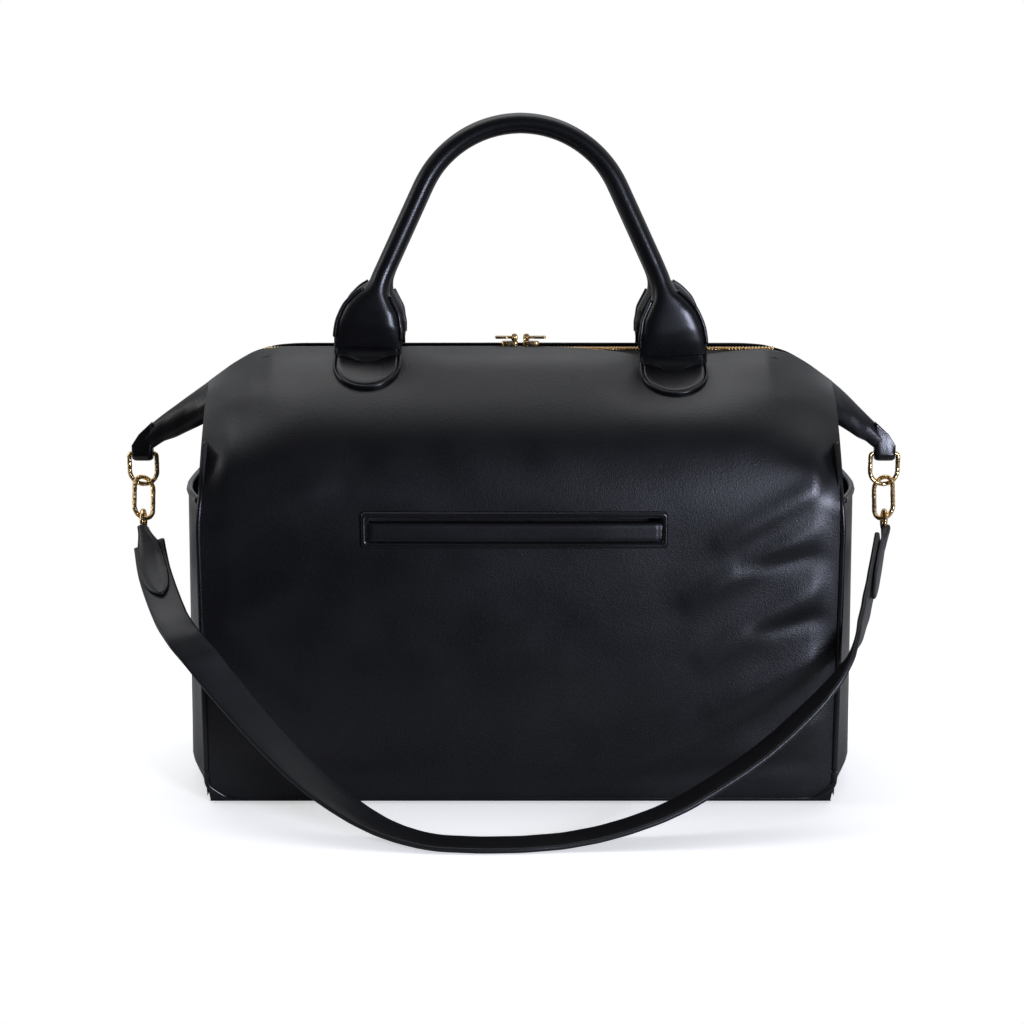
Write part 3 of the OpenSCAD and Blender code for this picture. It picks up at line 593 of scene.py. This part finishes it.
for which in ("front", "rear"):
    line, wide, deep = handle_points()
    t = np.gradient(line, axis=0)
    t /= np.linalg.norm(t, axis=1)[:, None]
    th = np.linspace(0, 2 * math.pi, 40, endpoint=False)
    flat = np.clip((wide - TUBE_R) / 0.015, 0, 1)[:, None]
    c = np.sign(np.cos(th)) * np.abs(np.cos(th)) ** (1 - 0.35 * flat)
    s = np.sign(np.sin(th)) * np.abs(np.sin(th)) ** (1 + 0.10 * flat)
    dent = 1 - 0.12 * flat * np.exp(-((th - math.pi / 2) / 0.5) ** 2)
    seam = 1 - 0.045 * np.exp(-((th - math.pi * 1.5) / 0.10) ** 2)
    in_plane = np.stack([t[:, 1], -t[:, 0]], 1)
    x = line[:, :1] + wide[:, None] * c * in_plane[:, :1] * seam
    up = line[:, 1:] + wide[:, None] * c * in_plane[:, 1:] * seam
    out = deep[:, None] * s * dent
    handle = grid(which + " handle tube", lean_on(np.stack([x, out, up], -1), which == "front"),
                  handle_leather, closed=True, caps=True, flip=which == "rear")
    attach(handle, which + "_handle")
    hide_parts(which + "_handle", which + "_flare_left", which + "_flare_right")

    # A raised, piped edge runs up both sides of each swollen end to the neck.
    low = (np.arange(len(line)) < 30) & (line[:, 1] > 0.0045)
    for side, name in SIDES:
        pick = low if side > 0 else low[::-1]
        for edge in (-1, 1):
            c, o, w, d = line[pick], in_plane[pick], wide[pick], deep[pick]
            w = w * (0.97 - 0.30 * step(np.abs(c[:, 1]), 0.040, 0.056))
            q = np.stack([c[:, 0] + edge * w * o[:, 0], 0.45 * d, c[:, 1] + edge * w * o[:, 1]], 1)
            thin = 0.0013 * (1 - 0.8 * step(c[:, 1], 0.046, 0.056))
            welt_line = tube("%s %s flare edge %s" % (which, name, "out" if edge * side > 0 else "in"),
                             lean_on(q, which == "front"), thin, handle_leather, 10)
            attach(welt_line, which + "_handle")

    # Tabs: rounded leather ends sewn flat on the lip below each fold, with a pressed line inside the edge.
    for side, name in SIDES:
        arc = np.linspace(0, math.pi, 40)
        outline = np.concatenate([[(-1.0, -0.0040), (-1.0, TAB_ROUND)],
                                  np.stack([-np.cos(arc), TAB_ROUND + TAB_HALF * np.sin(arc)], 1),
                                  [(1.0, TAB_ROUND), (1.0, -0.0040), (-1.0, -0.0040)]]) * [TAB_HALF, 1]
        outline = eased(outline, 161, 2)[:-1] - [0, TAB_ROUND]
        k = np.array([0.0, 0.40, 0.70, 0.82, 0.86, 0.885, 0.91, 0.94, 0.97, 0.99, 1.0, 1.0])
        lift = np.array([2.2, 2.2, 2.2, 2.2, 2.0, 1.5, 2.1, 2.7, 2.7, 2.2, 1.2, -0.4]) * 0.001
        tx = k[:, None] * outline[:, 0]
        tt = TAB_ROUND + k[:, None] * outline[:, 1]
        h = lift[:, None] + 1.1 * np.clip(0.0035 - tt, 0, 1)
        px = side * TAB_X + tx
        py, pz = down_lip(tt, h)
        if which == "front":
            pz = pz - sag(px) * (px > 0) * step(pz, 0.245, 0.288)
        sewn = np.stack([px, -py if which == "front" else py, pz], -1)
        tab = grid("%s %s tab leather" % (which, name), sewn, handle_leather, closed=True,
                   flip=which == "rear")
        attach(tab, which + "_lip")
        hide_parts("%s_tab_%s" % (which, name))


# ---- Zip ----
# Black woven tape sewn under each lip, with a row of gold teeth, 2.2 mm apart, that mesh with the other's.

# Plated zinc, polished: bright and warm, with faint unevenness from casting.
gold, tree, shader = material("polished pale gold")
at = add(tree, "ShaderNodeTexCoord").outputs["Object"]
tone = add(tree, "ShaderNodeTexNoise", {"Vector": at}, Scale=160.0, Detail=3.0)
worn = add(tree, "ShaderNodeMapRange", {"Value": tone.outputs[0]}, From_Min=0.3, From_Max=0.7,
           To_Min=0.16, To_Max=0.30)
beat = add(tree, "ShaderNodeTexVoronoi", {"Vector": at}, Scale=620.0, feature="SMOOTH_F1")
dimple = add(tree, "ShaderNodeBump", {"Height": beat.outputs["Distance"]}, Strength=0.25, Distance=0.0004)
shader.inputs["Base Color"].default_value = linear("#ecc88c")
shader.inputs["Metallic"].default_value = 1.0
tree.links.new(worn.outputs[0], shader.inputs["Roughness"])
tree.links.new(dimple.outputs[0], shader.inputs["Normal"])

# Woven polyester tape: black, dull and finely ribbed across.
tape_cloth, tree, shader = material("zip tape")
at = add(tree, "ShaderNodeTexCoord").outputs["Object"]
rib = add(tree, "ShaderNodeTexWave", {"Vector": at}, bands_direction="X", Scale=900.0)
weave = add(tree, "ShaderNodeBump", {"Height": rib.outputs["Fac"]}, Strength=0.3, Distance=0.0002)
shader.inputs["Base Color"].default_value = linear("#171718")
shader.inputs["Roughness"].default_value = 0.8
tree.links.new(weave.outputs[0], shader.inputs["Normal"])

TEETH = 154
PITCH = 0.0022

for which in ("front", "rear"):
    x, t = np.meshgrid(np.linspace(-0.1700, 0.1700, 140), np.linspace(0, 1, 9))
    y = 0.0032 + 0.0145 * t * (1 - 0.75 * step(np.abs(x), 0.148, 0.166))
    z = 0.2876 - 0.0030 * np.clip((y - 0.0034) / 0.0146, 0, 1) - 0.0016 * step(np.abs(x), 0.150, 0.170) * t
    z = z - (sag(x) * t if which == "front" else 0)
    upper = np.stack([x, -y, z], -1)
    both = np.concatenate([upper, upper[::-1] - [0, 0, 0.0008]])
    tape = grid(which + " zip tape cloth", flipped_y(both, which == "front"), tape_cloth,
                flip=which == "rear")
    follow_lip(tape)
    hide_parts(which + "_zip_tape")

    # One tooth: an eight-sided bar across the zip with a rounded head, copied along the tape.
    th = np.arange(8) * math.pi / 4 + math.pi / 8
    ring = np.stack([0.00068 * np.cos(th), 0 * th, 0.00150 * np.sin(th)], 1)
    rows = [(0.0040, 0.85), (0.0034, 1.0), (0.0006, 1.0), (-0.0004, 0.80), (-0.0007, 0.40)]
    tooth = np.concatenate([ring * [k, 1, k] + [0, -y, 0] for y, k in rows])
    first = np.arange(TEETH) * PITCH - 0.1694 + (PITCH / 2 if which == "rear" else 0)
    pts = tooth[None] + np.stack([first, 0 * first, 0.2879 + 0 * first], 1)[:, None]
    one = np.concatenate([quads(5, 8, closed=True), np.array([[0, 3, 2, 1], [0, 5, 4, 3], [0, 7, 6, 5]]),
                          32 + np.array([[0, 1, 2, 3], [0, 3, 4, 5], [0, 5, 6, 7]])])
    faces = (one[None] + len(tooth) * np.arange(TEETH)[:, None, None]).reshape(-1, 4)
    teeth = mesh(which + " zip teeth row", flipped_y(pts, which == "front"),
                 faces if which == "rear" else faces[:, ::-1], gold)
    follow_lip(teeth)
    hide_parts(which + "_zip_teeth")


# ---- Sliders and pulls ----
# Cast sliders, nose to nose when the zip is shut. Each has a pin across its lug, and the two arms of a plated
# pull turn on the pin.

def plate(outline, z0, z1, bevel):
    """A flat plate of closed outline (x, y) from z0 to z1 with rounded upper and lower edges, as rings."""
    o = np.asarray(outline, float)
    mid = o.mean(0)
    ks = [(0.0, z0), (0.9, z0), (1 - bevel * 0.4, z0), (1.0, z0 + bevel * 0.002), (1.0, z1 - bevel * 0.002),
          (1 - bevel * 0.4, z1), (0.9, z1), (0.0, z1)]
    return np.stack([np.column_stack([mid + (o - mid) * k, np.full(len(o), z)]) for k, z in ks])


def rounded_box(x0, x1, half_y, radius):
    """A rectangle with rounded corners, as points (x, y)."""
    t = np.linspace(0, math.pi / 2, 12)
    out = []
    for k, (cx, cy) in enumerate(((x1 - radius, half_y - radius), (x0 + radius, half_y - radius),
                                  (x0 + radius, -half_y + radius), (x1 - radius, -half_y + radius))):
        a = t + k * math.pi / 2
        out.append(np.stack([cx + radius * np.cos(a), cy + radius * np.sin(a)], 1))
    return np.concatenate(out)


def joined(name, parts, mat):
    """One mesh from several closed ring stacks."""
    points, faces, n = [], [], 0
    for p in parts:
        rows, cols = p.shape[:2]
        points.append(p.reshape(-1, 3))
        faces.append(quads(rows, cols, closed=True) + n)
        n += rows * cols
    return mesh(name, np.concatenate(points), np.concatenate(faces), mat)


PIN = (0.0040, 0.29564)


def beside(y0, y1, outline):
    """A flat plate standing along the bag between depths y0 and y1, its outline about the pin."""
    flat = plate(outline, y0, y1, 0.15)
    return np.stack([PIN[0] + flat[..., 0], flat[..., 2], PIN[1] + flat[..., 1]], -1)[::-1]


def around_pin(rings):
    """Rings about the pin's axis, each a (depth, radius)."""
    th = np.linspace(0, 2 * math.pi, 25)[:-1]
    return np.stack([np.stack([PIN[0] + r * np.cos(th), 0 * th + y, PIN[1] + r * np.sin(th)], 1)
                     for y, r in rings])[::-1]


for side, name in SIDES:
    flip = np.array([side, side, 1])
    top = plate(rounded_box(0.0015, 0.0125, 0.0030, 0.0022), 0.2906, 0.29304, 0.30)
    under = plate(rounded_box(0.0015, 0.0125, 0.0044, 0.0030), 0.28524, 0.28644, 0.25)
    neck = plate(rounded_box(0.0019, 0.0050, 0.0005, 0.0004), 0.2862, 0.2910, 0.1)
    lug = beside(-0.0008, 0.0008, rounded_box(-0.0020, 0.0020, 0.0020, 0.0018) * [1, 0.8] - [0, 0.0012])
    pin = around_pin([(0.0021, 0.0), (0.0021, 0.0010), (-0.0021, 0.0010), (-0.0021, 0.0)])
    slider = joined("zip slider cast " + name, [q * flip for q in (top, under, neck, lug, pin)], gold)
    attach(slider, "zip_slider_" + name)
    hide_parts("zip_slider_" + name)

    parts = [plate(rounded_box(PIN[0] + 0.0040, PIN[0] + 0.0130, 0.0030, 0.0014), PIN[1] - 0.0008,
                   PIN[1] + 0.0008, 0.3)]
    for y in (-0.0016, 0.0016):
        parts.append(around_pin([(y + 0.0005, 0.0013), (y + 0.0005, 0.0023), (y - 0.0005, 0.0023),
                                 (y - 0.0005, 0.0013), (y + 0.0005, 0.0013)]))
        parts.append(beside(y - 0.0005, y + 0.0005, rounded_box(0.0014, 0.0052, 0.0008, 0.0003)))
    pull = joined("zip pull plated " + name, [q * flip for q in parts], gold)
    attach(pull, "zip_pull_" + name)
    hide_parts("zip_pull_" + name)


# ---- Corner loops ----
# The tip of each drawn corner is a leather fold, wrapped under the bar of the upper link and pressed flat.

for side, name in SIDES:
    x = np.linspace(-0.0068, 0.0068, 25)
    top = np.interp(x, [-0.0068, 0.0018, 0.0068], [0.0215, 0.0135, 0.0060])
    th = np.linspace(-math.pi / 2, math.pi / 2, 17)
    r = 0.0050 - 0.0012 * (np.abs(x) / 0.0068) ** 6
    cols = []
    for y_side in (-1, 1):
        t = np.linspace(1, 0, 12)
        cols.append(np.stack([y_side * (0.0030 + (r[:, None] - 0.0030) * (1 - t) ** 1.5),
                              top[:, None] * t + 0 * r[:, None]], -1))
    under = np.stack([r[:, None] * np.sin(th), -r[:, None] * np.cos(th)], -1)
    section = np.concatenate([cols[0], under[:, 1:-1], cols[1][:, ::-1]], 1)
    wrap = np.concatenate([np.broadcast_to(x[:, None, None], section.shape[:2] + (1,)), section], 2)
    wrap = wrap * [side, 1, 1] + [side * RING_X - PULL, 0, RING_Z]
    fold = grid("corner loop leather " + name, wrap, handle_leather, closed=True, caps=True, flip=side > 0)
    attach(fold, "bag")
    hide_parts("wing_loop_" + name)


# ---- Chain links ----
# Three gold links on each side, of 3.2 mm wire with a hammered surface. The chain tips 35 degrees forward.

# The same plated zinc with dents about 2.4 mm apart, which break its highlights up.
hammered, tree, shader = material("hammered pale gold")
at = add(tree, "ShaderNodeTexCoord").outputs["Object"]
beat = add(tree, "ShaderNodeTexVoronoi", {"Vector": at}, Scale=420.0, feature="SMOOTH_F1")
fleck = add(tree, "ShaderNodeTexNoise", {"Vector": at}, Scale=900.0, Detail=2.0)
dimple = add(tree, "ShaderNodeBump", {"Height": beat.outputs["Distance"]}, Strength=0.9, Distance=0.0009)
fine = add(tree, "ShaderNodeBump", {"Height": fleck.outputs[0], "Normal": dimple.outputs[0]},
           Strength=0.25, Distance=0.0002)
shader.inputs["Base Color"].default_value = linear("#ecca92")
shader.inputs["Metallic"].default_value = 1.0
shader.inputs["Roughness"].default_value = 0.24
tree.links.new(fine.outputs[0], shader.inputs["Normal"])

WIRE = 0.0016
UPPER_DROP, MIDDLE_DROP, LOWER_DROP = 0.0210, 0.0300, 0.0120
GAP = 0.0050


def link_line(half, drop, square):
    """A link's middle line in its own plane (x, z), its top bar at height 0: half rounds joined by straight
    sides, or a straight bar on top when square."""
    a = np.linspace(0, math.pi, 40)
    low = np.stack([half * np.cos(a), -drop + half - half * np.sin(a)], 1)
    high = np.stack([-half * np.cos(a), -half + half * np.sin(a)], 1)
    if square:
        high = np.array([(-half, -0.0012), (-half + 0.0006, -0.0003), (-half + 0.0016, 0), (half - 0.0016, 0),
                         (half - 0.0006, -0.0003), (half, -0.0012)])
    return eased(np.concatenate([low, high, low[:1]]), 97, 1)[:-1]


def chain_place(points, side, along):
    """From a link's frame to the bag's: down the chain by along, tipped forward and 4 degrees inward."""
    tip, lean = math.radians(35), math.radians(4) * side
    p = points - [0, 0, along]
    y = p[..., 1] * math.cos(tip) + p[..., 2] * math.sin(tip)
    z = -p[..., 1] * math.sin(tip) + p[..., 2] * math.cos(tip)
    x = p[..., 0] * math.cos(lean) + z * math.sin(lean)
    z = -p[..., 0] * math.sin(lean) + z * math.cos(lean)
    return np.stack([x + side * RING_X - PULL, y, z + RING_Z - UPPER_DROP], -1)


for side, name in SIDES:
    sizes = (("upper", 0.0092, UPPER_DROP, True, 0, None),
             ("middle", 0.0075, MIDDLE_DROP, False, -side * 47, -GAP),
             ("lower", 0.0050, LOWER_DROP, False, 90, MIDDLE_DROP - 2 * GAP))
    for kind, half, drop, square, turn, along in sizes:
        line = link_line(half, drop, square)
        a = math.radians(turn)
        p = np.stack([line[:, 0] * math.cos(a), line[:, 0] * math.sin(a), line[:, 1]], 1)
        p = p + [side * RING_X - PULL, 0, RING_Z] if along is None else chain_place(p, side, along)
        k = np.arange(96)
        radius = WIRE * (0.96 + 0.05 * np.sin(k * 0.98 + side) * np.sin(k * 0.41))
        link = tube("%s link %s wire" % (kind, name), p, radius, hammered, 18, closed=True)
        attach(link, "strap")
        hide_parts("%s_link_%s" % (kind, name))


# ---- Shoulder strap ----
# One flat leather band, 22 mm wide, that falls from both chains and rests on the floor in front of the bag.

# The band's middle line from the left chain to the right one (x, y, z in millimetres, turn in degrees).
ROUTE = np.array([
    (-247.5, -27, 160.5, -111), (-245, -34.5, 153, -109.5), (-241.5, -45, 145.5, -106),
    (-236.5, -57, 138.5, -103.5), (-230.5, -71, 131.5, -98), (-223.5, -86, 124, -92),
    (-214.5, -98, 116, -86), (-204, -105, 106.5, -80), (-192.5, -110, 93.5, -75), (-180, -115.5, 80, -71),
    (-167, -122, 67, -66), (-154, -128.5, 55, -63), (-141, -135.5, 44, -59), (-127, -142, 33.5, -53),
    (-113, -147, 24.5, -45), (-100, -151, 17, -36), (-87, -154.5, 11, -26), (-75, -157, 7, -17),
    (-62, -159.5, 4.2, -9), (-50, -161, 2.7, -4), (-25, -162, 2, 0), (0, -161, 2, 0), (26, -158, 3, 1),
    (48, -156, 6.5, 3), (66, -154, 11, 5), (85, -151, 17, 7), (102, -147.5, 24, 9), (119, -143, 33, 10),
    (135, -138.5, 42, 11), (150, -134, 51.5, 11), (164, -129.5, 62, 10), (176, -125, 72, 9),
    (188, -120, 82.5, 4), (199, -115, 94, -3), (208, -108, 105.5, -12), (215, -97, 117, -20),
    (221.5, -81, 128.5, -20), (227.5, -63, 139, -18.5), (233, -45, 149.5, -18),
    (238.5, -27, 160.5, -18)]) / 1000


def strap_frames(count):
    """Even places along the strap with its width direction and its outward normal.
    The width direction is the turn's level vector (sin t, -cos t, 0) made square to the way."""
    p = eased(ROUTE, count, 6)
    way = np.gradient(p[:, :3], axis=0)
    way /= np.linalg.norm(way, axis=1)[:, None]
    t = np.radians(1000 * p[:, 3])
    level = np.stack([np.sin(t), -np.cos(t), 0 * t], 1)
    wide = level - (level * way).sum(1)[:, None] * way
    wide /= np.linalg.norm(wide, axis=1)[:, None]
    return p[:, :3], wide, np.cross(way, wide)


BAND_HALF, BAND_THICK = 0.011, 0.00172
place, wide, up = strap_frames(360)
section = np.array([(1.00, 0.00), (0.985, 0.55), (0.93, 0.88), (0.86, 1.00), (0.80, 0.92), (0.74, 0.97),
                    (0.30, 1.0), (-0.30, 1.0), (-0.74, 0.97), (-0.80, 0.92), (-0.86, 1.00), (-0.93, 0.88),
                    (-0.985, 0.55), (-1.00, 0.00), (-0.985, -0.55), (-0.93, -0.88), (-0.86, -1.0),
                    (-0.30, -1.0), (0.30, -1.0), (0.86, -1.0), (0.93, -0.88), (0.985, -0.55)])
section = section * [BAND_HALF, BAND_THICK]
band = place[:, None] + wide[:, None] * section[None, :, :1] + up[:, None] * section[None, :, 1:]
band[..., 2] = np.maximum(band[..., 2], 0.0002)
strap = grid("strap band leather", band, strap_leather, closed=True, caps=True)
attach(strap, "strap")
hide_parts("shoulder_strap")

# Strap ends: teardrop leather tabs folded round the lower links and sewn on the strap's outer face.
for side, name in SIDES:
    order = slice(None) if side < 0 else slice(None, None, -1)
    p, a, u = (q[order][:26] for q in (place, wide, up))
    s = run_along(p)
    s = s / s[-1]
    half = np.interp(s, [0, 0.12, 0.35, 0.62, 0.85, 0.95, 1.0],
                     [0.0070, 0.0080, 0.0092, 0.0092, 0.0068, 0.0042, 0.0012])
    half = soften(half, 3)
    shape = np.array([(1.0, -0.5), (1.0, 0.3), (0.96, 0.75), (0.88, 1.0), (0.80, 0.80), (0.74, 1.0),
                      (0.3, 1.08), (-0.3, 1.08), (-0.74, 1.0), (-0.80, 0.80), (-0.88, 1.0), (-0.96, 0.75),
                      (-1.0, 0.3), (-1.0, -0.5)])
    out = u * side
    lift = 0.0030
    rows = p[:, None] + a[:, None] * (half[:, None, None] * shape[None, :, :1])
    rows = rows + out[:, None] * (lift + 0.0011 * shape[None, :, 1:])
    eye = chain_place(np.zeros(3), side, MIDDLE_DROP - 2 * GAP + LOWER_DROP)
    head = []
    for k in np.linspace(0, 1, 9)[:-1]:
        q = eye * (1 - k) + (p[0] + out[0] * lift) * k
        size = 0.0031 + (half[0] - 0.0031) * k ** 1.4
        thick = 0.0040 * (1 - k) + 0.0012 * k
        head.append(q + a[0] * (size * shape[:, :1]) + out[0] * (thick * shape[:, 1:]))
    tab = grid("strap end leather " + name, np.concatenate([np.stack(head), rows]), strap_leather,
               closed=True, caps=True, flip=side < 0)
    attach(tab, "strap")
    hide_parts("strap_tab_" + name)


# ---- Floor and light ----
# A pale floor that fades into a white surround, a broad light overhead and a tall soft light on the right.
# The surround is white behind and at the sides and dark in front, as in a studio, so the front stays black.

# White paper: matt, and glowing a little to the camera alone, so that it meets the surround unseen.
floor_paint, tree, shader = material("white floor")
ray = add(tree, "ShaderNodeLightPath")
where = add(tree, "ShaderNodeNewGeometry").outputs["Position"]
reach = add(tree, "ShaderNodeVectorMath", {0: where}, operation="LENGTH")
fade = add(tree, "ShaderNodeMapRange", {"Value": reach.outputs["Value"]}, interpolation_type="SMOOTHSTEP",
           From_Min=0.20, From_Max=0.44)
part = add(tree, "ShaderNodeSeparateXYZ", {0: where})
# Painted dark reflection: glossy rays alone see the floor dark in front of the bag, 0.02 beyond 0.42 m out
# and 0.55 within 0.14 m, while all other rays see it white. This keeps the leather's front black in
# reflection.
painted_dark_reflection = add(tree, "ShaderNodeMapRange", {"Value": part.outputs["Y"]}, interpolation_type="SMOOTHSTEP",
            From_Min=-0.42, From_Max=-0.14, To_Min=0.02, To_Max=0.55)
bright = add(tree, "ShaderNodeMix", {0: ray.outputs["Is Glossy Ray"], 3: painted_dark_reflection.outputs[0]}, data_type="FLOAT")
bright.inputs[2].default_value = 0.97
shader.inputs["Roughness"].default_value = 0.8
shader.inputs["Specular IOR Level"].default_value = 0.0
shader.inputs["Emission Color"].default_value = (1, 1, 1, 1)
glow = add(tree, "ShaderNodeMath", {0: ray.outputs["Is Camera Ray"]}, operation="MULTIPLY")
glow.inputs[1].default_value = 0.50
tree.links.new(glow.outputs[0], shader.inputs["Emission Strength"])
tree.links.new(bright.outputs[0], shader.inputs["Base Color"])
clear_part = add(tree, "ShaderNodeMath", {0: fade.outputs[0], 1: ray.outputs["Is Camera Ray"]},
                 operation="MULTIPLY")
through = add(tree, "ShaderNodeBsdfTransparent")
mix = add(tree, "ShaderNodeMixShader", {0: clear_part.outputs[0], 1: shader.outputs[0],
                                       2: through.outputs[0]})
tree.links.new(mix.outputs[0], tree.nodes["Material Output"].inputs["Surface"])
floor = mesh("floor", [(-9, -9, 0), (9, -9, 0), (9, 9, 0), (-9, 9, 0)], [(0, 1, 2, 3)], floor_paint)


def softbox(name, place, aim, width, height, power, colour):
    """A rectangular area light at place, turned to face aim."""
    data = bpy.data.lights.new(name, "AREA")
    data.shape = "RECTANGLE"
    data.size, data.size_y = width, height
    data.energy = power
    data.color = linear(colour)[:3]
    ob = bpy.data.objects.new(name, data)
    ob.location = place
    d = np.array(aim, float) - np.array(place, float)
    ob.rotation_euler = (math.acos(-d[2] / np.linalg.norm(d)), 0, math.atan2(d[1], d[0]) - math.pi / 2)
    bpy.context.scene.collection.objects.link(ob)


softbox("overhead light", (-0.1, 0.45, 1.7), (0, 0, 0.2), 1.8, 1.0, 9, "#ffffff")
softbox("right light", (1.05, -1.75, 0.42), (0.1, 0, 0.14), 0.42, 0.62, 34, "#dfe5ff")
softbox("left light", (-1.6, -0.15, 0.7), (0, 0, 0.15), 0.4, 1.0, 4, "#ffffff")

world = bpy.data.worlds.new("white world")
world.use_nodes = True
bpy.context.scene.world = world
tree = world.node_tree
tree.nodes.clear()
path = add(tree, "ShaderNodeLightPath")
toward = add(tree, "ShaderNodeTexCoord").outputs["Generated"]
part = add(tree, "ShaderNodeSeparateXYZ", {0: toward})
back = add(tree, "ShaderNodeMapRange", {"Value": part.outputs["Y"]}, interpolation_type="SMOOTHSTEP",
           From_Min=-0.75, From_Max=0.35, To_Min=0.03, To_Max=0.70)
plain = add(tree, "ShaderNodeBackground", Color=(1, 1, 1, 1), Strength=1.0)
dim = add(tree, "ShaderNodeBackground", {"Strength": back.outputs[0]}, Color=linear("#eef1f7"))
mix = add(tree, "ShaderNodeMixShader", {0: path.outputs["Is Camera Ray"], 1: dim.outputs[0],
                                       2: plain.outputs[0]})
add(tree, "ShaderNodeOutputWorld", {"Surface": mix.outputs[0]})
bpy.context.scene.view_settings.view_transform = "Standard"
